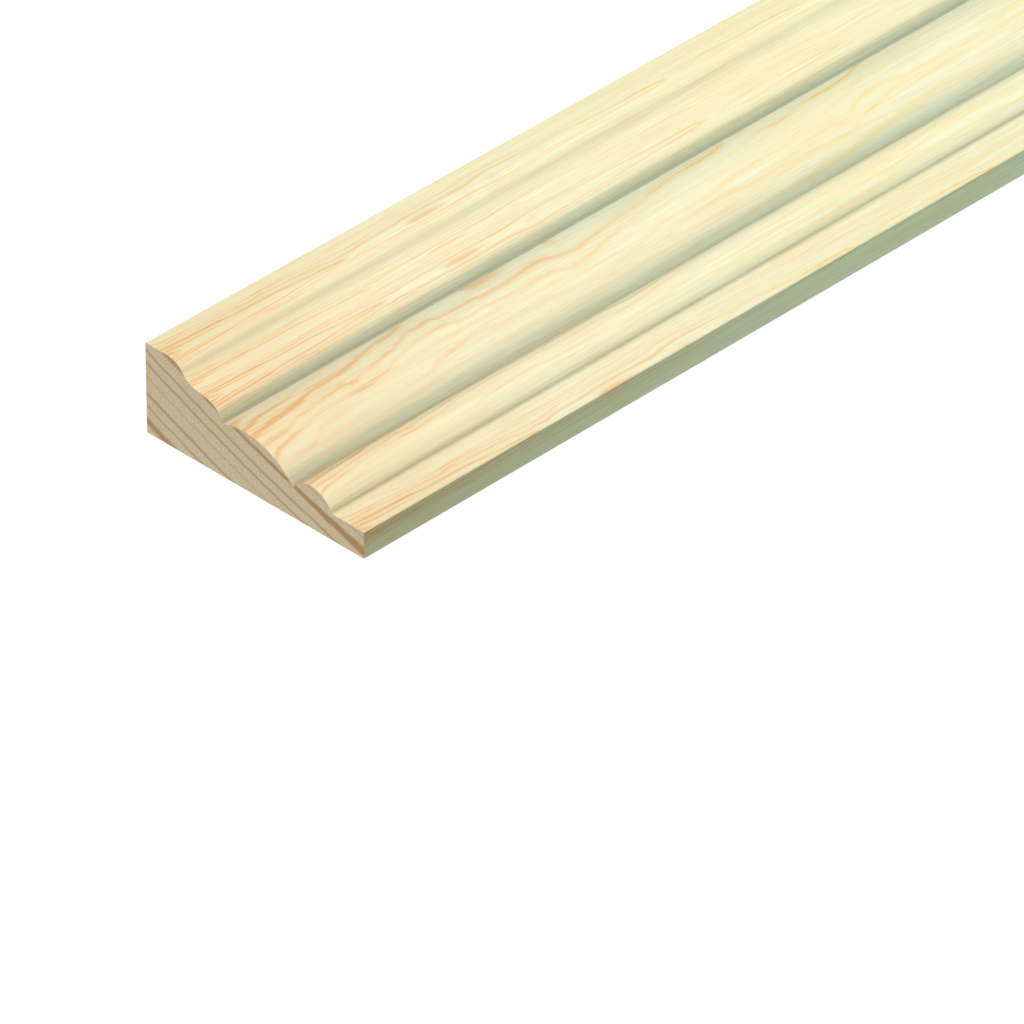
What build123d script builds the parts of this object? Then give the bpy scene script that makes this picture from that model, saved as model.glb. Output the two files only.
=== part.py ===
"""Pine barrel moulding: one planed length of softwood with a moulded face.

Sizes are in millimetres. X runs along the length, the square thick edge is at +Y,
the thin edge is at -Y, and the flat back lies on Z = 0 with the moulded face up.
"""
import os
from math import acos, cos, degrees, radians

from build123d import *

# Overall sizes of the length of stock
length = 2400.0
width = 34.0
thickness = 12.0
thin_edge_height = 3.5

# Ogee beside the thick edge: a flat top that rolls over a nose into a cove
top_flat_width = 3.8
nose_radius = 2.3
cove_radius = 3.0
ogee_fall = 2.45

# Shoulder: a short sloping shelf that rounds down into the first valley
shelf_slope = 8.0
shelf_length = 1.5
shoulder_width = 2.75

# Barrel: the broad round between the two valleys, which takes the width that is left
barrel_valley_height = 7.07
barrel_rise = 1.89

# Bead: the small round between the second valley and the fillet
bead_valley_height = 4.0
bead_width = 5.95
bead_rise = 1.86

# Fillet: the flat ledge that runs out to the thin edge
fillet_width = 5.05

# Lines across the width that the members start from
thick_edge = width / 2
thin_edge = -width / 2
fillet_line = thin_edge + fillet_width
bead_line = fillet_line + bead_width

# Angle that the nose turns through, so that nose and cove together fall by ogee_fall
turn_cosine = (nose_radius + cove_radius * cos(radians(shelf_slope)) - ogee_fall) / (
    nose_radius + cove_radius
)
ogee_turn = degrees(acos(turn_cosine))

with BuildPart() as moulding:
    with BuildSketch(Plane.YZ) as section:
        with BuildLine() as outline:
            top_flat = Line((thick_edge, thickness), (thick_edge - top_flat_width, thickness))
            nose = JernArc(top_flat @ 1, top_flat % 1, nose_radius, ogee_turn)
            cove = JernArc(nose @ 1, nose % 1, cove_radius, shelf_slope - ogee_turn)
            shelf = Line(cove @ 1, cove @ 1 + (cove % 1) * shelf_length)
            barrel_line = (shelf @ 1).X - shoulder_width
            shoulder = TangentArc(
                shelf @ 1, (barrel_line, barrel_valley_height), tangent=shelf % 1
            )
            barrel = SagittaArc(shoulder @ 1, (bead_line, bead_valley_height), -barrel_rise)
            bead = SagittaArc(barrel @ 1, (fillet_line, thin_edge_height), -bead_rise)
            back_and_edges = Polyline(
                bead @ 1,
                (thin_edge, thin_edge_height),
                (thin_edge, 0),
                (thick_edge, 0),
                (thick_edge, thickness),
            )
        make_face()
    extrude(amount=length / 2, both=True)

moulding.part.label = "moulding"

os.makedirs("parts", exist_ok=True)
export_step(moulding.part, "parts/moulding.step")
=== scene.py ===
from math import acos, asin, atan2, cos, hypot, pi, radians, sin

import bmesh
import bpy
from mathutils import Matrix, Vector


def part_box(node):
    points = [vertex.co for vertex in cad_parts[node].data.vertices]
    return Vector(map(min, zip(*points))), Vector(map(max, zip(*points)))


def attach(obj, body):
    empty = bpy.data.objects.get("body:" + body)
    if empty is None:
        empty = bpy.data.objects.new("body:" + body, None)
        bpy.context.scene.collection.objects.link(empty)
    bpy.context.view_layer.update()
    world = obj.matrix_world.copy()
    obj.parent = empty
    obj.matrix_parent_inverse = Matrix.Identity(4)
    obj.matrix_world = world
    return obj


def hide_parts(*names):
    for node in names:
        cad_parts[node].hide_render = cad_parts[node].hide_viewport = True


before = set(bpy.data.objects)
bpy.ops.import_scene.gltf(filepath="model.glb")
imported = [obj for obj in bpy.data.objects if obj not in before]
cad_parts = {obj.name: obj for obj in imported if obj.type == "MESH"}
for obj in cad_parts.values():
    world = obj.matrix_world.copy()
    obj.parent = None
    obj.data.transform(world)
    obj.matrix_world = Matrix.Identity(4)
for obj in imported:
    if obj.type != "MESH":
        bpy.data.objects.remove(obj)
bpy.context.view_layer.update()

# Sizes of the moulded face, in metres, the same as the solid's
mm = 0.001
top_flat_width = 3.8 * mm
nose_radius = 2.3 * mm
cove_radius = 3.0 * mm
ogee_fall = 2.45 * mm
shelf_slope = radians(8.0)
shelf_length = 1.5 * mm
shoulder_width = 2.75 * mm
barrel_valley_height = 7.07 * mm
barrel_rise = 1.89 * mm
bead_valley_height = 4.0 * mm
bead_width = 5.95 * mm
bead_rise = 1.86 * mm
fillet_width = 5.05 * mm
thin_edge_height = 3.5 * mm

# Places closer together than this count as one
touching = 0.001 * mm

# The long arrises are eased a little, and the rounds are drawn in short facets
arris_easing = 0.12 * mm
easing_facets = 3
facet_length = 0.22 * mm
fewest_facets = 8

# Overall box of the solid: near end at low X, thin edge at low Y, back at low Z
near_corner, far_corner = (Vector(corner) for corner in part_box("moulding"))
near_end, thin_edge, back = near_corner
far_end, thick_edge, top = far_corner
length = far_end - near_end
width = thick_edge - thin_edge


def socket(node, name):
    """Gives a node's input by name."""
    return node.inputs[name]


def rgb(red, green, blue):
    """Turns a colour read off a screen, 0 to 255, into the linear colour that nodes take."""
    def linear(value):
        share = value / 255
        return share / 12.92 if share <= 0.04045 else ((share + 0.055) / 1.055) ** 2.4
    return (linear(red), linear(green), linear(blue), 1.0)


# The moulding's own mesh

def draw_straight(bm, tip, y, z):
    """Runs the outline straight from its tip to a place and returns the new tip."""
    new_tip = bmesh.ops.extrude_vert_indiv(bm, verts=[tip])["verts"][0]
    new_tip.co = (tip.co.x, y, z)
    return new_tip


def draw_round(bm, tip, centre_y, centre_z, turn):
    """Spins the outline's tip about a centre and returns the new tip."""
    radius = hypot(tip.co.y - centre_y, tip.co.z - centre_z)
    steps = max(fewest_facets, round(abs(turn) * radius / facet_length))
    spun = bmesh.ops.spin(
        bm,
        geom=[tip],
        cent=(tip.co.x, centre_y, centre_z),
        axis=(1, 0, 0),
        angle=turn,
        steps=steps,
        use_merge=False,
        use_normal_flip=False,
        use_duplicate=False,
    )
    return next(part for part in spun["geom_last"] if isinstance(part, bmesh.types.BMVert))


def draw_crown(bm, tip, end_y, end_z, rise):
    """Runs the outline over a round that stands rise above the line between its ends."""
    half_y = (end_y - tip.co.y) / 2
    half_z = (end_z - tip.co.z) / 2
    half_chord = hypot(half_y, half_z)
    radius = (half_chord ** 2 + rise ** 2) / (2 * rise)
    drop = (radius - rise) / half_chord
    centre_y = tip.co.y + half_y - half_z * drop
    centre_z = tip.co.z + half_z + half_y * drop
    return draw_round(bm, tip, centre_y, centre_z, 2 * asin(half_chord / radius))


def draw_section(bm):
    """Draws the closed outline of the section at the near end, thick edge first."""
    first = bm.verts.new((near_end, thick_edge, back))
    tip = draw_straight(bm, first, thick_edge, top)
    tip = draw_straight(bm, tip, thick_edge - top_flat_width, top)

    turn_cosine = (nose_radius + cove_radius * cos(shelf_slope) - ogee_fall) / (
        nose_radius + cove_radius
    )
    ogee_turn = acos(turn_cosine)
    tip = draw_round(bm, tip, tip.co.y, tip.co.z - nose_radius, ogee_turn)
    cove_y = tip.co.y - cove_radius * sin(ogee_turn)
    cove_z = tip.co.z + cove_radius * cos(ogee_turn)
    tip = draw_round(bm, tip, cove_y, cove_z, shelf_slope - ogee_turn)

    shelf_y = tip.co.y - shelf_length * cos(shelf_slope)
    shelf_z = tip.co.z - shelf_length * sin(shelf_slope)
    tip = draw_straight(bm, tip, shelf_y, shelf_z)

    shoulder_drop = tip.co.z - barrel_valley_height
    half_turn = atan2(shoulder_drop, shoulder_width) - shelf_slope
    shoulder_radius = hypot(shoulder_drop, shoulder_width) / (2 * sin(half_turn))
    shoulder_y = tip.co.y + shoulder_radius * sin(shelf_slope)
    shoulder_z = tip.co.z - shoulder_radius * cos(shelf_slope)
    tip = draw_round(bm, tip, shoulder_y, shoulder_z, 2 * half_turn)

    fillet_y = thin_edge + fillet_width
    tip = draw_crown(bm, tip, fillet_y + bead_width, bead_valley_height, barrel_rise)
    tip = draw_crown(bm, tip, fillet_y, thin_edge_height, bead_rise)
    tip = draw_straight(bm, tip, thin_edge, thin_edge_height)
    tip = draw_straight(bm, tip, thin_edge, back)
    bmesh.ops.contextual_create(bm, geom=[tip, first])


def is_arris(edge):
    """Tells whether an edge is one of the four long corners of the stock."""
    low, high = edge.verts
    corners = (
        (thick_edge, back),
        (thick_edge, top),
        (thin_edge, thin_edge_height),
        (thin_edge, back),
    )
    runs_along = abs(low.co.x - high.co.x) > length / 2
    return runs_along and any(
        hypot(low.co.y - y, low.co.z - z) < touching for y, z in corners
    )


def make_moulding():
    """Makes the moulding's body: the section drawn once, drawn out along the length."""
    bm = bmesh.new()
    draw_section(bm)
    bmesh.ops.edgeloop_fill(bm, edges=bm.edges[:])
    drawn = bmesh.ops.extrude_face_region(bm, geom=bm.faces[:])
    far_verts = [part for part in drawn["geom"] if isinstance(part, bmesh.types.BMVert)]
    bmesh.ops.translate(bm, verts=far_verts, vec=(length, 0, 0))
    bmesh.ops.recalc_face_normals(bm, faces=bm.faces)
    bmesh.ops.bevel(
        bm,
        geom=[edge for edge in bm.edges if is_arris(edge)],
        offset=arris_easing,
        offset_type="OFFSET",
        segments=easing_facets,
        profile=0.5,
        affect="EDGES",
        clamp_overlap=True,
        material=-1,
    )
    bmesh.ops.bisect_plane(
        bm,
        geom=bm.verts[:] + bm.edges[:] + bm.faces[:],
        plane_co=(0, 0, 0),
        plane_no=(1, 0, 0),
    )
    return bm


# Where the growth rings run across the faces. Each pair is the distance round the outline,
# from the foot of the thick edge, and the depth into the grain there, both in millimetres.
# The depth folds back at each crest, because both flanks of a crest cut the same rings, and
# breaks off at each valley.
grain_folds = (
    (0.0, 20.0), (12.0, 10.5), (16.0, 0.0), (18.2, 12.0), (20.29, -0.1), (20.3, 10.6),
    (22.9, 0.0), (25.98, 13.0), (25.99, -0.3), (38.12, 11.7), (38.13, -0.9), (45.53, 12.5),
    (45.55, 11.2), (50.55, 0.0), (54.05, 14.0), (66.2, 0.0), (88.2, 20.0),
)


# The flat sheet that carries the colour of an exported model: two strips, each with half the
# length, and the two ends below them, as shares of the sheet. The ends lie side by side, and
# their scale is in sheets to a metre.
sheet_margin = 0.004
strip_height = 0.445
end_scale = 7.2
end_spacing = 1.1 * width * end_scale

# Edges turned more sharply than this stay crisp
crisp_angle = radians(12)


def grain_depth(round_outline):
    """Gives the depth into the grain at a distance round the outline, in millimetres."""
    for (start, start_depth), (end, end_depth) in zip(grain_folds, grain_folds[1:]):
        if round_outline <= end:
            share = (round_outline - start) / (end - start)
            return start_depth + share * (end_depth - start_depth)
    return grain_folds[-1][1]


def outline_distances(bm):
    """Gives each corner of the section its distance round the outline, in metres."""
    end_face = min(bm.faces, key=lambda face: face.calc_center_median().x)
    corners = [vert.co.copy() for vert in end_face.verts]
    on_back = [corner for corner in corners if corner.z < back + touching]
    start = corners.index(max(on_back, key=lambda corner: corner.y))
    corners = corners[start:] + corners[:start]
    if corners[1].z < corners[-1].z:
        corners = corners[:1] + corners[:0:-1]
    distances = {}
    walked = 0.0
    for here, ahead in zip(corners, corners[1:] + corners[:1]):
        distances[key_of(here)] = walked
        walked += (ahead - here).length
    return distances, walked


def key_of(place):
    """Names a place on the section, the same all along the length."""
    return (round(place.y / mm, 3), round(place.z / mm, 3))


def is_end(face):
    """Tells whether a face is one of the two sawn ends."""
    return abs(face.normal.x) > 0.9


def lay_end(face, sheet):
    """Lays one sawn end flat on the sheet."""
    shift = end_spacing if face.calc_center_median().x > 0 else 0.0
    for loop in face.loops:
        place = loop.vert.co
        across = shift + (thick_edge - place.y) * end_scale
        up = (place.z - back) * end_scale
        loop[sheet].uv = (sheet_margin + across, sheet_margin + up)


def lay_long_face(face, grain, outline, sheet, distances, perimeter):
    """Lays one long face on all three maps."""
    on_near_half = face.calc_center_median().x < 0
    strip = 1 if on_near_half else 2
    strip_foot = 1 - strip * (strip_height + sheet_margin)
    strip_start = near_end if on_near_half else 0.0
    around = [distances[key_of(loop.vert.co)] for loop in face.loops]
    if max(around) - min(around) > perimeter / 2:
        around = [value or perimeter for value in around]
    middle = (max(around) + min(around)) / 2
    for loop, value in zip(face.loops, around):
        along = loop.vert.co.x
        # The grain breaks off at corners of the section. Read halfway to the middle of the face
        # and carried on from there, the depth keeps to the face's own side of the break.
        halfway = (middle + value) / 2
        depth = 2 * grain_depth(halfway / mm) - grain_depth(middle / mm)
        loop[grain].uv = ((along - near_end) / mm, depth)
        loop[outline].uv = ((along - near_end) / mm, value / mm)
        loop[sheet].uv = (
            sheet_margin + (along - strip_start) / (length / 2) * (1 - 2 * sheet_margin),
            strip_foot + value / perimeter * strip_height,
        )


def lay_maps(bm):
    """Writes three maps: the grain's, the outline's and the flat sheet for the colour."""
    grain = bm.loops.layers.uv.new("Grain")
    outline = bm.loops.layers.uv.new("Outline")
    sheet = bm.loops.layers.uv.new("OFBake")
    distances, perimeter = outline_distances(bm)
    for face in bm.faces:
        if is_end(face):
            lay_end(face, sheet)
        else:
            lay_long_face(face, grain, outline, sheet, distances, perimeter)


def finish_moulding(bm):
    """Shades the mesh, with sharp valleys and ends, and gives it its object."""
    for face in bm.faces:
        face.smooth = not is_end(face)
        face.material_index = 1 if is_end(face) else 0
    for edge in bm.edges:
        edge.smooth = edge.calc_face_angle(0) < crisp_angle
    mesh = bpy.data.meshes.new("planed_moulding")
    bm.to_mesh(mesh)
    bm.free()
    piece = bpy.data.objects.new("planed_moulding", mesh)
    bpy.context.scene.collection.objects.link(piece)
    return piece


# Materials

class Wiring:
    """Adds nodes to one material and joins them, with plain numbers where no socket is given."""

    def __init__(self, material):
        material.use_nodes = True
        self.tree = material.node_tree
        self.shader = self.tree.nodes["Principled BSDF"]

    def set(self, name, value):
        """Joins a socket to one of the shader's inputs, or sets it to a plain value."""
        self.feed(socket(self.shader, name), value)

    def feed(self, target, value):
        """Joins a socket to an input, or sets the input to a plain value."""
        if isinstance(value, bpy.types.NodeSocket):
            self.tree.links.new(value, target)
        else:
            target.default_value = value

    def math(self, operation, first, second=0.0, third=0.0):
        """Adds one sum and returns its result."""
        node = self.tree.nodes.new("ShaderNodeMath")
        node.operation = operation
        for target, value in zip(node.inputs, (first, second, third)):
            self.feed(target, value)
        return node.outputs[0]

    def stretch(self, value, low, high, to_low=0.0, to_high=1.0, smooth=False):
        """Maps one range of numbers onto another, held at both ends."""
        node = self.tree.nodes.new("ShaderNodeMapRange")
        node.interpolation_type = "SMOOTHSTEP" if smooth else "LINEAR"
        for target, number in zip(node.inputs, (value, low, high, to_low, to_high)):
            self.feed(target, number)
        return node.outputs[0]

    def vector(self, x, y, z=0.0):
        """Puts three numbers together as one place."""
        node = self.tree.nodes.new("ShaderNodeCombineXYZ")
        for target, value in zip(node.inputs, (x, y, z)):
            self.feed(target, value)
        return node.outputs[0]

    def noise(self, place, detail=2.0, roughness=0.5):
        """Adds cloudy noise about 0.5, with one cloud to each unit of place."""
        node = self.tree.nodes.new("ShaderNodeTexNoise")
        self.feed(socket(node, "Vector"), place)
        self.feed(socket(node, "Scale"), 1.0)
        self.feed(socket(node, "Detail"), detail)
        self.feed(socket(node, "Roughness"), roughness)
        return node.outputs[0]

    def grain_noise(self, along, depth, size, level=0.0, detail=2.0):
        """Adds noise drawn out to a size along and into the grain, at a level of its own."""
        long, deep = size
        place = self.vector(
            self.math("DIVIDE", along, long), self.math("DIVIDE", depth, deep), level
        )
        return self.noise(place, detail=detail)

    def swing(self, noise, reach):
        """Turns noise into a swing about zero, reach wide from side to side."""
        return self.math("MULTIPLY_ADD", noise, reach, -reach / 2)

    def object_place(self):
        """Gives the place on the object."""
        return self.tree.nodes.new("ShaderNodeTexCoord").outputs["Object"]

    def scaled(self, place, scale):
        """Scales a place, so that noise stretches by the same shares."""
        node = self.tree.nodes.new("ShaderNodeMapping")
        self.feed(socket(node, "Vector"), place)
        self.feed(socket(node, "Scale"), scale)
        return node.outputs[0]

    def map_numbers(self, name):
        """Reads one of the mesh's maps and returns its two numbers."""
        node = self.tree.nodes.new("ShaderNodeUVMap")
        node.uv_map = name
        split = self.tree.nodes.new("ShaderNodeSeparateXYZ")
        self.feed(split.inputs[0], node.outputs[0])
        return split.outputs[0], split.outputs[1]

    def curve(self, value, places):
        """Adds a curve through the given places and returns its height."""
        node = self.tree.nodes.new("ShaderNodeFloatCurve")
        self.feed(socket(node, "Value"), value)
        points = node.mapping.curves[0].points
        while len(points) < len(places):
            points.new(0.5, 0.5)
        for point, location in zip(points, places):
            point.location = location
        node.mapping.update()
        return node.outputs[0]

    def ramp(self, value, stops):
        """Adds a colour ramp through the given stops of place and colour."""
        node = self.tree.nodes.new("ShaderNodeValToRGB")
        self.feed(node.inputs[0], value)
        elements = node.color_ramp.elements
        while len(elements) < len(stops):
            elements.new(1.0)
        for element, (place, colour) in zip(elements, stops):
            element.position = place
            element.color = colour
        return node.outputs[0]

    def blend(self, share, first, second, kind="MIX"):
        """Mixes two colours."""
        node = self.tree.nodes.new("ShaderNodeMix")
        node.data_type = "RGBA"
        node.blend_type = kind
        self.feed(node.inputs["Factor"], share)
        self.feed(node.inputs[6], first)
        self.feed(node.inputs[7], second)
        return node.outputs[2]

    def bump(self, height, distance, strength=1.0):
        """Adds a bump from a height and leads it to the shader."""
        node = self.tree.nodes.new("ShaderNodeBump")
        self.feed(socket(node, "Height"), height)
        self.feed(socket(node, "Distance"), distance)
        self.feed(socket(node, "Strength"), strength)
        self.tree.links.new(node.outputs[0], socket(self.shader, "Normal"))


# Growth ring lines of the first stretch, as drawn on the barrel. Each has its half breadth and
# its route: distance along, depth into the grain, both in millimetres, and strength. The curves
# that carry a route hold its places as shares of a length and a depth, and the depths are
# lifted clear of zero.
route_length = 130.0
route_depth = 14.0
route_lift = 0.2
ring_routes = (
    (0.8, ((0, 1.3, 0.9), (0.8, 0.8, 0.8), (1.8, 0.25, 0.6), (3, -0.6, 0.4), (130, -2, 0))),
    (0.34, (
        (0, 2.85, 0.9), (1.7, 2.5, 0.9), (3.3, 2.2, 0.8), (5.6, 1.95, 0.65), (8.1, 1.65, 0.6),
        (9.4, 1.4, 0.35), (11.7, 1.05, 0.3), (14.4, 0.2, 0.3), (18, -1, 0), (130, -2, 0),
    )),
    (0.38, (
        (0, 4.4, 1), (1.7, 4.1, 1), (3.6, 3.83, 0.95), (5.6, 3.6, 1), (8.3, 3.33, 1),
        (9.4, 2.9, 0.75), (10.6, 2.55, 0.85), (13.9, 2.5, 0.8), (15.6, 2.4, 0.75),
        (17.2, 2.17, 0.75), (18.9, 1.6, 0.75), (20.6, 1.25, 0.75), (22.2, 0.97, 0.75),
        (23.9, 0.83, 0.8), (25.3, 0.5, 0.85), (26.7, 0.14, 0.7), (30, -1, 0), (130, -2, 0),
    )),
    (0.36, (
        (0, 6.2, 0.75), (1.7, 5.9, 0.75), (4.2, 5.7, 0.7), (5.6, 5.3, 0.6), (8.3, 4.78, 0.6),
        (12.2, 4.4, 0.65), (13.9, 4.3, 0.7), (15, 4.67, 0.75), (16.7, 4.4, 0.5),
        (18.9, 4.06, 0.55), (20.6, 3.6, 0.6), (22.2, 3.4, 0.65), (24.2, 2.8, 0.6),
        (26.4, 2.1, 0.65), (27.5, 2.33, 0.7), (28.9, 2, 0.75), (30, 2.44, 0.65),
        (31.4, 2.72, 0.6), (35.6, 2.7, 0.7), (36.7, 3, 0.65), (38.9, 3.1, 0.7),
        (43.3, 2.83, 0.7), (45.6, 2.67, 0.85), (48.3, 3.4, 0.65), (50, 3.75, 0.6),
        (54.2, 3.45, 0.55), (58, 2.85, 0.5), (61.7, 2.65, 0.5), (65.6, 1.83, 0.6),
        (70, 1.22, 0.65), (75.3, 1.08, 0.8), (77.5, 0.4, 0.7), (81, -1, 0), (130, -2, 0),
    )),
    (0.32, (
        (0, 8.35, 0.85), (0.8, 7.6, 0.8), (1.7, 7.2, 0.75), (3.3, 6.9, 0.75),
        (5, 6.67, 0.6), (6.7, 6.45, 0.5), (7.5, 6.05, 0.45), (12.2, 5.7, 0.45),
        (15, 5.95, 0.6), (18.9, 5.5, 0.55), (20.3, 5.3, 0.55), (21.4, 4.9, 0.5),
        (23.9, 4.4, 0.45), (26.4, 4.07, 0.45), (30, 4, 0.5), (31.9, 4.6, 0.4),
        (33.6, 4.78, 0.35), (35, 4.45, 0.35), (36.7, 4.78, 0.45), (41.1, 4.9, 0.45),
        (46.1, 5.1, 0.55), (48.3, 5.67, 0.55), (51.4, 5.6, 0.55), (54.4, 4.93, 0.45),
        (59.2, 4.2, 0.25), (63, 3.9, 0.2), (71.1, 3.4, 0.15), (76.7, 2.85, 0.2),
        (83.3, 2, 0.45), (85, 2.15, 0.65), (88.9, 1.45, 0.45), (93.3, 1.33, 0.75),
        (97.2, 1, 0.75), (99.8, 0.2, 0.7), (105, -1, 0), (130, -2, 0),
    )),
    (0.3, (
        (0, 9.9, 0.1), (6, 9.2, 0.15), (12, 8.75, 0.2), (19.4, 8.56, 0.2), (24.2, 8.1, 0.35),
        (26.1, 7.55, 0.4), (28, 7.4, 0.5), (32, 7.1, 0.4), (37, 7.55, 0.35), (41, 7.6, 0.4),
        (45.6, 7.8, 0.2), (50, 8.3, 0.2), (55.6, 7.8, 0.15), (60.6, 6.8, 0.2), (67, 6.3, 0.15),
        (72.2, 6, 0.3), (77.8, 5.8, 0.35), (82, 5.6, 0.2), (92, 4.3, 0.2), (97, 3, 0.3),
        (101, 1.5, 0.2), (107, 0, 0), (130, -1, 0),
    )),
    (0.4, (
        (0, 9.4, 0.25), (5, 8.8, 0.3), (7, 7.9, 0.35), (8.3, 7.45, 0.4), (13.9, 7.1, 0.2),
        (20, 6.6, 0.1), (24, 5.8, 0.15), (30, 5.7, 0.15), (39, 5.9, 0.15), (48, 6.7, 0.15),
        (60, 5.6, 0.1), (80, 4.4, 0.15), (100, 2, 0.1), (130, 0, 0),
    )),
    (0.3, (
        (0, 10.6, 0.3), (13.9, 9.7, 0.25), (22.2, 9.5, 0.25), (27.8, 9.2, 0.25),
        (33, 9.3, 0.2), (38.9, 9.7, 0.2), (50, 9.6, 0.2), (56, 9.3, 0.15), (60, 8.6, 0.15),
        (67.2, 7.45, 0.35), (73.6, 7.4, 0.5), (74.8, 7.8, 0.35), (82, 7.3, 0.25),
        (86, 6.6, 0.35), (89.5, 6.4, 0.4), (91.1, 6.8, 0.4), (92.5, 6.6, 0.4),
        (94.4, 5.6, 0.45), (98.9, 4.9, 0.45), (103, 5.5, 0.4), (113.7, 5.75, 0.35),
        (123, 4.5, 0.3), (130, 3.8, 0.2),
    )),
    (0.3, (
        (0, 11.9, 0.3), (12.5, 10.55, 0.3), (25, 10.4, 0.25), (33, 10.3, 0.2),
        (41.7, 10.1, 0.25), (50, 9.95, 0.2), (60, 9.3, 0.2), (71.7, 8.75, 0.3),
        (77.8, 8.75, 0.3), (80.6, 8.3, 0.3), (87.5, 8.1, 0.4), (91, 8.3, 0.45),
        (93.3, 7.65, 0.35), (97.2, 6.8, 0.4), (101, 6.3, 0.35), (105, 6.4, 0.3),
        (112, 6.7, 0.25), (123, 5.8, 0.2), (130, 5, 0.2),
    )),
    (0.28, (
        (0, 12.6, 0.3), (20, 11.6, 0.25), (40, 11.2, 0.2), (60, 10.8, 0.2), (81.4, 10.3, 0.4),
        (90.3, 10.1, 0.4), (95.6, 9.6, 0.35), (103, 8.9, 0.35), (116, 9.7, 0.2),
        (130, 9.4, 0.2),
    )),
    (0.8, (
        (0, -0.9, 0), (35, -0.9, 0), (36.5, -0.5, 0.7), (38.5, 0.4, 0.8), (40.5, 0.15, 0.8),
        (42.5, -0.6, 0.6), (44, -0.9, 0), (48.5, -0.7, 0), (50, -0.15, 0.5),
        (51.8, -0.7, 0), (56.5, -0.7, 0), (57.5, -0.2, 0.35), (58.5, -0.7, 0),
        (79.5, -0.7, 0), (81, -0.2, 0.45), (82.5, -0.7, 0), (130, -1, 0),
    )),
)

# Growth ring lines beyond the first stretch: depth into the grain, half breadth and strength
ring_lines = (
    (1.0, 0.5, 0.55), (2.9, 0.35, 0.4), (4.5, 0.3, 0.55), (6.2, 0.4, 0.35), (8.1, 0.36, 0.45),
    (10.3, 0.4, 0.3), (12.5, 0.45, 0.45), (14.1, 0.4, 0.3), (15.7, 0.35, 0.35),
)
ring_repeat = 17.5

# Painted shade across the moulded face: distance round the outline, and shares of red, green and
# blue that the wood keeps.
# The feet of the rounds are painted darker and greener than the lamps alone would leave them. The
# small dips elsewhere, the slightly duller stretch before the nose and the thin edge's upper arris
# are painted shade as well.
painted_valley_shade = (
    (15.6, 0.97, 0.97, 0.95), (16.2, 1.0, 1.0, 1.0),
    (17.6, 1.0, 0.99, 0.98), (18.1, 0.97, 0.92, 0.89), (18.6, 1.0, 0.99, 0.98),
    (24.2, 0.99, 0.97, 0.97), (24.7, 0.71, 0.74, 0.74), (25.2, 0.67, 0.75, 0.78),
    (25.6, 0.63, 0.72, 0.75), (25.8, 0.54, 0.61, 0.61), (25.95, 0.43, 0.46, 0.46),
    (26.02, 0.86, 0.92, 0.98), (26.3, 0.9, 0.94, 0.96), (31.0, 1.0, 1.0, 1.0),
    (35.26, 0.98, 0.96, 0.96), (36.26, 0.89, 0.91, 0.92), (36.96, 0.77, 0.84, 0.87),
    (37.76, 0.73, 0.84, 0.88), (37.91, 0.75, 0.82, 0.82), (38.11, 0.6, 0.66, 0.66),
    (39.66, 0.67, 0.72, 0.68), (40.06, 0.82, 0.88, 0.89), (40.56, 0.94, 0.97, 0.99),
    (41.16, 1.0, 1.0, 1.0), (44.86, 1.0, 1.0, 1.0), (45.36, 0.75, 0.76, 0.69),
    (45.57, 0.49, 0.52, 0.47), (45.67, 0.57, 0.6, 0.57), (45.74, 1.0, 1.0, 1.0),
    (50.42, 1.0, 1.0, 1.0), (50.57, 0.78, 0.8, 0.75), (50.85, 1.0, 1.0, 1.0),
)
outline_length = 90.0

# The thin edge is painted greyer all along, as painted shade, and is browner near the end. Each
# tone comes in or fades between two distances, round the outline or along, which are followed by
# the share at each.
thin_edge_shade_start = (50.57, 50.85, 0.0, 1.0)
brown_start = (50.5, 50.6, 0.0, 1.0)
brown_fade_down = (51.65, 52.85, 1.0, 0.6)
brown_fade_along = (8.0, 75.0, 1.0, 0.0)
thin_edge_foot = (54.0, 54.2, 1.0, 0.0)
thin_edge_shade_share = (0.88, 0.94, 0.93, 1.0)
brown_share = (0.86, 0.79, 0.74, 1.0)

# Sizes of the patterns in the long faces, along the grain and into it, in millimetres
ripple_size = (2.6, 4.0)
fray_size = (1.6, 0.22)
patch_size = (9.0, 1.5)
strand_size = (30.0, 0.45)
cloud_size = (25.0, 1.6)
pale_size = (12.0, 1.1)
blush_size = (4.0, 0.7)
wander_length = 90.0

# How noise turns into the share of a pattern: low and high noise, then the share at each
patch_share = (0.3, 0.6, 0.8, 1.05)
fray_share = (0.3, 0.7, 0.75, 1.15)
strand_share = (0.5, 0.7, 0.0, 0.45)
cloud_share = (0.35, 0.68, 0.0, 1.0)
pale_share = (0.42, 0.66, 0.0, 0.85)
blush_share = (0.5, 0.7, 0.0, 0.45)
fibre_share = (0.4, 0.75, 0.0, 0.8)

# How a pattern changes with distance along: two distances, then the share at each
narrowing_along = (4.0, 30.0, 0.66, 0.84)
cloud_fade = (30.0, 80.0, 1.0, 0.5)
pale_fade = (60.0, 85.0, 1.0, 0.6)
blush_fade = (40.0, 90.0, 1.0, 0.25)
warm_fade = (5.0, 36.0, 1.0, 0.0)
weak_lines_yellow = (40.0, 90.0, 0.0, 1.0)
strong_lines_yellow = (6.0, 40.0, 0.0, 1.0)

# How warm the near end is by depth into the grain: two depths, then the share at each
warm_across = (5.5, 8.5, 1.0, 0.65)

# Fibres to a metre, along, across and up
fibre_scale = (120.0, 4200.0, 4200.0)

# The share of the fine strands that is left beyond the warm end
far_strands = 0.35

# How far the rings ripple, fray and wander from side to side, in millimetres
ripple_reach = 0.5
fray_reach = 0.36
wander_reach = 30.0

# Where the drawn ring lines give way to the repeated ones
lines_fade = (route_length - 18, route_length + 6)

# Strengths between which a ring line takes on its weak colour, and then its strong one
weak_strength = (0.0, 0.58)
strong_strength = (0.45, 0.95)

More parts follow.
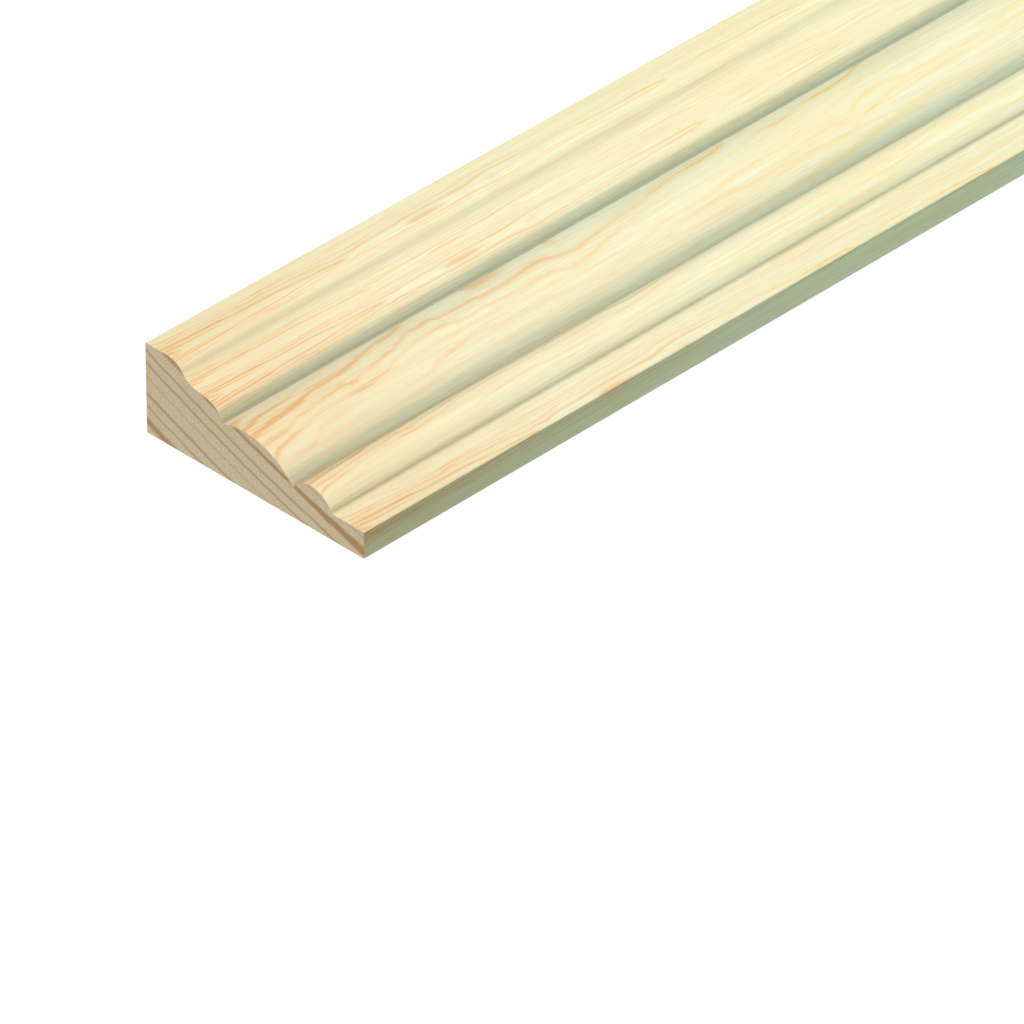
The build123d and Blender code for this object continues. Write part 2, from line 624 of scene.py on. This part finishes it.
# A ring line has a dark core in a paler stain: how much of each there is, and how far each
# reaches, in half breadths of the line. The core is full over a narrow middle, in millimetres.
core = 0.95
core_reach = 1.5
core_middle = 0.05
stain = 0.5
stain_reach = 3.2

# Colours of the long faces
clear_wood = rgb(252, 251, 218)
clouded_wood = rgb(252, 247, 206)
pale_wood = rgb(248, 252, 222)
blushing_wood = rgb(252, 239, 208)
warm_wood = rgb(245, 233, 196)
fibre_wood = rgb(240, 226, 181)
weak_line_near = rgb(246, 218, 170)
weak_line_far = rgb(250, 232, 168)
strong_line_near = rgb(236, 187, 135)
strong_line_far = rgb(248, 208, 152)
black = (0.0, 0.0, 0.0, 1.0)

# The share of the light thrown from face to face that is held back, so that the valleys keep
# the painted shade above
bounce_held_back = 0.9


def ring_stops(lines, start, reach):
    """Lays ring lines out along a ramp, each rising from bare wood and falling back to it."""
    stops = [(0.0, black)]
    for place, breadth, strength in lines:
        middle = place - start
        stops.append(((middle - breadth) / reach, black))
        stops.append((middle / reach, (strength, strength, strength, 1.0)))
        stops.append(((middle + breadth) / reach, black))
    return stops


def drawn_line(wiring, share_along, depth, narrowing, breadth, route):
    """Draws one ring line and returns its strength at each place."""
    depths = [(x / route_length, y / route_depth + route_lift) for x, y, strength in route]
    strengths = [(x / route_length, strength) for x, y, strength in route]
    middle = wiring.math(
        "MULTIPLY_ADD", wiring.curve(share_along, depths), route_depth, -route_lift * route_depth
    )
    offset = wiring.math("ABSOLUTE", wiring.math("SUBTRACT", depth, middle))
    offset = wiring.math("MULTIPLY", offset, narrowing)
    line = wiring.math(
        "MAXIMUM",
        wiring.stretch(offset, core_middle, core_reach * breadth, core, 0.0, smooth=True),
        wiring.stretch(offset, 0.0, stain_reach * breadth, stain, 0.0, smooth=True),
    )
    return wiring.math("MULTIPLY", line, wiring.curve(share_along, strengths))


def drawn_lines(wiring, along, depth):
    """Draws the ring lines of the first stretch, which broaden towards the near end."""
    share_along = wiring.math("DIVIDE", along, route_length)
    narrowing = wiring.stretch(along, *narrowing_along)
    lines = 0.0
    for breadth, route in ring_routes:
        line = drawn_line(wiring, share_along, depth, narrowing, breadth, route)
        lines = wiring.math("MAXIMUM", line, lines)
    return lines


def repeated_lines(wiring, along, depth):
    """Lays the ring lines beyond the first stretch, where they wander and repeat."""
    wander = wiring.noise(
        wiring.vector(wiring.math("DIVIDE", along, wander_length), 3.7), detail=4.0
    )
    ring = wiring.math("SUBTRACT", depth, wiring.swing(wander, wander_reach))
    turned = wiring.math("FRACT", wiring.math("DIVIDE", ring, ring_repeat))
    return wiring.ramp(turned, ring_stops(ring_lines, 0.0, ring_repeat))


def line_strength(wiring, along, depth, warm_along):
    """Gives the strength of the ring lines and of the fine strands between them."""
    ripple = wiring.grain_noise(along, depth, ripple_size)
    fray = wiring.grain_noise(along, depth, fray_size)
    rippled = wiring.math("ADD", depth, wiring.swing(ripple, ripple_reach))
    rippled = wiring.math("ADD", rippled, wiring.swing(fray, fray_reach))

    far = wiring.stretch(along, *lines_fade, smooth=True)
    near = wiring.math("SUBTRACT", 1.0, far)
    far_lines = wiring.math("MULTIPLY", repeated_lines(wiring, along, rippled), far)
    near_lines = drawn_lines(wiring, along, rippled)
    strength = wiring.math("MULTIPLY_ADD", near_lines, near, far_lines)

    patch = wiring.grain_noise(along, depth, patch_size, detail=1.0)
    strength = wiring.math("MULTIPLY", strength, wiring.stretch(patch, *patch_share))
    strength = wiring.math("MULTIPLY", strength, wiring.stretch(fray, *fray_share))

    strand = wiring.grain_noise(along, depth, strand_size, level=2.7)
    strand = wiring.stretch(strand, *strand_share)
    near_strands = wiring.math("MULTIPLY_ADD", warm_along, 1 - far_strands, far_strands)
    return wiring.math("ADD", strength, wiring.math("MULTIPLY", strand, near_strands))


def bare_wood(wiring, along, depth, warm_along, fibre):
    """Gives the colour of the wood between the ring lines."""
    clouds = wiring.grain_noise(along, depth, cloud_size, detail=3.0)
    clouds = wiring.stretch(clouds, *cloud_share)
    clouds = wiring.math("MULTIPLY", clouds, wiring.stretch(along, *cloud_fade))
    colour = wiring.blend(clouds, clear_wood, clouded_wood)

    pale = wiring.grain_noise(along, depth, pale_size, level=5.3)
    pale = wiring.stretch(pale, *pale_share)
    pale = wiring.math("MULTIPLY", pale, wiring.stretch(along, *pale_fade))
    colour = wiring.blend(pale, colour, pale_wood)

    blush = wiring.grain_noise(along, depth, blush_size, level=9.1)
    blush = wiring.stretch(blush, *blush_share)
    blush = wiring.math("MULTIPLY", blush, wiring.stretch(along, *blush_fade))
    colour = wiring.blend(blush, colour, blushing_wood)

    warm = wiring.stretch(depth, *warm_across, smooth=True)
    colour = wiring.blend(wiring.math("MULTIPLY", warm_along, warm), colour, warm_wood)
    return wiring.blend(wiring.stretch(fibre, *fibre_share), colour, fibre_wood)


def lined_wood(wiring, along, bare, strength):
    """Lays the ring lines on the bare wood. They turn yellower with distance along."""
    yellow = wiring.stretch(along, *weak_lines_yellow)
    weak_line = wiring.blend(yellow, weak_line_near, weak_line_far)
    colour = wiring.blend(wiring.stretch(strength, *weak_strength), bare, weak_line)

    yellow = wiring.stretch(along, *strong_lines_yellow)
    strong_line = wiring.blend(yellow, strong_line_near, strong_line_far)
    return wiring.blend(wiring.stretch(strength, *strong_strength), colour, strong_line)


def painted_shade_wood(wiring, along, outline, colour):
    """Paints shade into the valleys and onto the thin edge, and makes the thin edge browner near
    the end.
    """
    stops = [
        (distance / outline_length, (red, green, blue, 1.0))
        for distance, red, green, blue in painted_valley_shade
    ]
    # Painted shade: the valleys and dips are darkened and greened by distance round the outline
    painted_shade_ramp = wiring.ramp(wiring.math("DIVIDE", outline, outline_length), stops)
    colour = wiring.blend(1.0, colour, painted_shade_ramp, kind="MULTIPLY")

    above_back = wiring.stretch(outline, *thin_edge_foot)
    # Painted shade: the thin edge is greyed all along, down to its foot
    edge_shade = wiring.math("MULTIPLY", wiring.stretch(outline, *thin_edge_shade_start), above_back)
    colour = wiring.blend(edge_shade, colour, thin_edge_shade_share, kind="MULTIPLY")

    brown = wiring.math("MULTIPLY", wiring.stretch(outline, *brown_start), above_back)
    brown = wiring.math("MULTIPLY", brown, wiring.stretch(along, *brown_fade_along))
    brown = wiring.math("MULTIPLY", brown, wiring.stretch(outline, *brown_fade_down))
    return wiring.blend(brown, colour, brown_share, kind="MULTIPLY")


def planed_pine():
    """Makes the material of the long faces: pale pine with wandering ring lines."""
    material = bpy.data.materials.new("planed_pine")
    wiring = Wiring(material)
    along, depth = wiring.map_numbers("Grain")
    outline = wiring.map_numbers("Outline")[1]
    place = wiring.scaled(wiring.object_place(), fibre_scale)
    fibre = wiring.noise(place, detail=4.0, roughness=0.6)

    warm_along = wiring.stretch(along, *warm_fade, smooth=True)
    strength = line_strength(wiring, along, depth, warm_along)
    bare = bare_wood(wiring, along, depth, warm_along, fibre)
    colour = lined_wood(wiring, along, bare, strength)
    colour = painted_shade_wood(wiring, along, outline, colour)

    bounced = wiring.tree.nodes.new("ShaderNodeLightPath").outputs["Is Diffuse Ray"]
    colour = wiring.blend(wiring.math("MULTIPLY", bounced, bounce_held_back), colour, black)
    wiring.set("Base Color", colour)
    wiring.set("Roughness", wiring.stretch(fibre, 0.3, 0.7, 0.6, 0.75))
    wiring.set("Specular IOR Level", 0.15)
    wiring.bump(fibre, 0.015 * mm, 0.4)
    return material


# Rings on the sawn ends: the pith, from the foot of the thick edge, and each ring's distance
# from it, half breadth and strength, in millimetres
pith_across = 101.0
pith_up = 238.0
end_ring_start = 242.0
end_ring_reach = 17.0
end_rings = (
    (244.6, 0.25, 0.35), (248.4, 0.3, 0.7), (249.9, 0.3, 0.7), (251.6, 0.26, 0.35),
    (253.6, 0.34, 0.75), (255.2, 0.28, 0.6), (257.1, 0.75, 0.95),
)
waver_reach = 0.5

# Patterns of the sawn ends to a metre, along, across and up
waver_scale = (0.0, 380.0, 380.0)
pore_scale = (2500.0, 4200.0, 4200.0)
patch_scale = (400.0, 700.0, 700.0)

# One more ring, by its distance from the pith, which broadens and darkens across the section:
# two distances from the thick edge, then the half breadth or the strength at each
broad_ring = 246.35
broadening = (22.0, 33.0, 0.42, 0.85)
darkening = (16.0, 27.0, 0.68, 0.92)

# Colours of the sawn ends
light_end_grain = rgb(225, 203, 174)
dark_end_grain = rgb(193, 169, 136)
grey_end_grain = rgb(205, 195, 176)
weak_end_ring = rgb(177, 146, 111)
strong_end_ring = rgb(187, 125, 83)


def end_ring_strength(wiring, place):
    """Gives the strength of the ring lines across a sawn end."""
    split = wiring.tree.nodes.new("ShaderNodeSeparateXYZ")
    wiring.feed(split.inputs[0], place)
    across = wiring.math("MULTIPLY_ADD", split.outputs[1], -1 / mm, thick_edge / mm)
    up = wiring.math("DIVIDE", split.outputs[2], mm)
    reach = wiring.math("SUBTRACT", across, pith_across)
    rise = wiring.math("SUBTRACT", up, pith_up)
    squares = wiring.math("ADD", wiring.math("POWER", reach, 2.0), wiring.math("POWER", rise, 2.0))
    waver = wiring.noise(wiring.scaled(place, waver_scale), detail=3.0)
    radius = wiring.math("ADD", wiring.math("SQRT", squares), wiring.swing(waver, waver_reach))
    share = wiring.math("DIVIDE", wiring.math("SUBTRACT", radius, end_ring_start), end_ring_reach)
    rings = wiring.ramp(share, ring_stops(end_rings, end_ring_start, end_ring_reach))

    offset = wiring.math("ABSOLUTE", wiring.math("SUBTRACT", radius, broad_ring))
    band = wiring.math("DIVIDE", offset, wiring.stretch(across, *broadening))
    band = wiring.stretch(band, 0.3, 1.0, 1.0, 0.0, smooth=True)
    band = wiring.math("MULTIPLY", band, wiring.stretch(across, *darkening))
    return wiring.math("MAXIMUM", rings, band)


def sawn_pine():
    """Makes the material of the sawn ends: beige end grain with brown ring lines."""
    material = bpy.data.materials.new("sawn_end_grain")
    wiring = Wiring(material)
    place = wiring.object_place()
    pores = wiring.noise(wiring.scaled(place, pore_scale), detail=3.0, roughness=0.7)
    patches = wiring.noise(wiring.scaled(place, patch_scale), detail=2.0)
    colour = wiring.blend(wiring.stretch(pores, 0.33, 0.68), light_end_grain, dark_end_grain)
    colour = wiring.blend(wiring.stretch(patches, 0.45, 0.7, 0.0, 0.6), colour, grey_end_grain)

    broken = wiring.stretch(pores, 0.3, 0.65, 1.0, 0.6)
    strength = wiring.math("MULTIPLY", end_ring_strength(wiring, place), broken)
    colour = wiring.blend(wiring.stretch(strength, 0.0, 0.6), colour, weak_end_ring)
    colour = wiring.blend(wiring.stretch(strength, 0.55, 0.92), colour, strong_end_ring)
    wiring.set("Base Color", colour)
    wiring.set("Roughness", 0.85)
    wiring.set("Specular IOR Level", 0.1)
    wiring.bump(pores, 0.06 * mm, 0.7)
    return material


# Floor, light and camera

# The floor is near white where it is seen, and throws back a weak cool light
floor_size = 4.0
floor_seen = (0.16, 0.16, 0.16, 1.0)
floor_thrown = (0.2, 0.34, 0.37, 1.0)
floor_glow = 0.87
white = (1.0, 1.0, 1.0, 1.0)
surround_strength = 0.06

# Lamps: the way to each, the light that a side facing it gets, and its breadth in the sky
lamps = (
    ("key_lamp", (-0.40, -0.176, 0.984), (0.87, 0.865, 0.85), radians(30)),
    ("front_lamp", (-0.1, -0.985, 0.174), (0.158, 0.182, 0.165), radians(30)),
    ("side_lamp", (-0.97, -0.05, 0.25), (0.36, 0.33, 0.29), radians(30)),
    ("back_lamp", (0.3, 0.95, 0.06), (0.14, 0.14, 0.14), radians(30)),
    ("far_lamp", (1.0, 0.0, 0.0), (0.6, 0.58, 0.55), radians(4)),
)


def plain_sight(tree):
    """Tells whether a ray comes from the camera, or by way of something shiny or clear."""
    path = tree.nodes.new("ShaderNodeLightPath")
    sight = path.outputs["Is Camera Ray"]
    for kind in ("Is Glossy Ray", "Is Transmission Ray"):
        either = tree.nodes.new("ShaderNodeMath")
        either.operation = "MAXIMUM"
        tree.links.new(sight, either.inputs[0])
        tree.links.new(path.outputs[kind], either.inputs[1])
        sight = either.outputs[0]
    return sight


def lay_floor():
    """Lays the pale floor, which keeps a faint shadow of the moulding."""
    bm = bmesh.new()
    bmesh.ops.create_grid(bm, x_segments=1, y_segments=1, size=floor_size)
    bmesh.ops.translate(bm, verts=bm.verts, vec=(0, 0, back))
    mesh = bpy.data.meshes.new("floor")
    bm.to_mesh(mesh)
    bm.free()
    floor = bpy.data.objects.new("floor", mesh)
    bpy.context.scene.collection.objects.link(floor)

    material = bpy.data.materials.new("pale_floor")
    wiring = Wiring(material)
    seen = plain_sight(wiring.tree)
    wiring.set("Base Color", wiring.blend(seen, floor_thrown, floor_seen))
    wiring.set("Roughness", 1.0)
    wiring.set("Specular IOR Level", 0.0)
    wiring.set("Emission Color", white)
    wiring.set("Emission Strength", wiring.math("MULTIPLY", seen, floor_glow))
    mesh.materials.append(material)


def light_world():
    """Sets the pale surround: white where it is seen, soft where it lights."""
    world = bpy.data.worlds.new("studio")
    bpy.context.scene.world = world
    world.use_nodes = True
    tree = world.node_tree
    sky = tree.nodes["Background"]
    strength = tree.nodes.new("ShaderNodeMapRange")
    strength.inputs["To Min"].default_value = surround_strength
    strength.inputs["To Max"].default_value = 1.0
    tree.links.new(plain_sight(tree), strength.inputs["Value"])
    tree.links.new(strength.outputs[0], sky.inputs["Strength"])
    sky.inputs["Color"].default_value = white


def hang_lamp(name, direction, light, breadth):
    """Hangs a soft lamp far off in a direction."""
    lamp = bpy.data.lights.new(name, "SUN")
    strongest = max(light)
    lamp.energy = strongest * pi
    lamp.color = [part / strongest for part in light]
    lamp.angle = breadth
    holder = bpy.data.objects.new(name, lamp)
    holder.rotation_euler = Vector(direction).to_track_quat("Z", "Y").to_euler()
    bpy.context.scene.collection.objects.link(holder)


def set_camera():
    """Sets the camera at the photograph's viewing angle and distance."""
    azimuth = radians(-45.344)
    elevation = radians(35.456)
    roll = radians(0.072)
    distance = 1.247837
    aside = 0.028108
    above = -0.001843
    backward = Vector(
        (sin(azimuth) * cos(elevation), -cos(azimuth) * cos(elevation), sin(elevation))
    )
    level_right = Vector((cos(azimuth), sin(azimuth), 0.0))
    level_up = backward.cross(level_right)
    right = level_right * cos(roll) + level_up * sin(roll)
    upward = level_up * cos(roll) - level_right * sin(roll)
    foot = Vector((near_end, 0.0, back))
    place = foot + right * aside + upward * above + backward * distance
    camera = bpy.data.cameras.new("camera")
    camera.sensor_width = 36.0
    camera.lens = 401.3
    camera.clip_start = 0.01
    camera.clip_end = 50.0
    holder = bpy.data.objects.new("camera", camera)
    turned = Matrix((right, upward, backward)).transposed().to_4x4()
    holder.matrix_world = Matrix.Translation(place) @ turned
    bpy.context.scene.collection.objects.link(holder)
    bpy.context.scene.camera = holder


body = make_moulding()
lay_maps(body)
moulding = finish_moulding(body)
moulding.data.materials.append(planed_pine())
moulding.data.materials.append(sawn_pine())
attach(moulding, "root")
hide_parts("moulding")

lay_floor()
light_world()
for name, direction, light, breadth in lamps:
    hang_lamp(name, direction, light, breadth)
set_camera()
bpy.context.scene.view_settings.view_transform = "Standard"
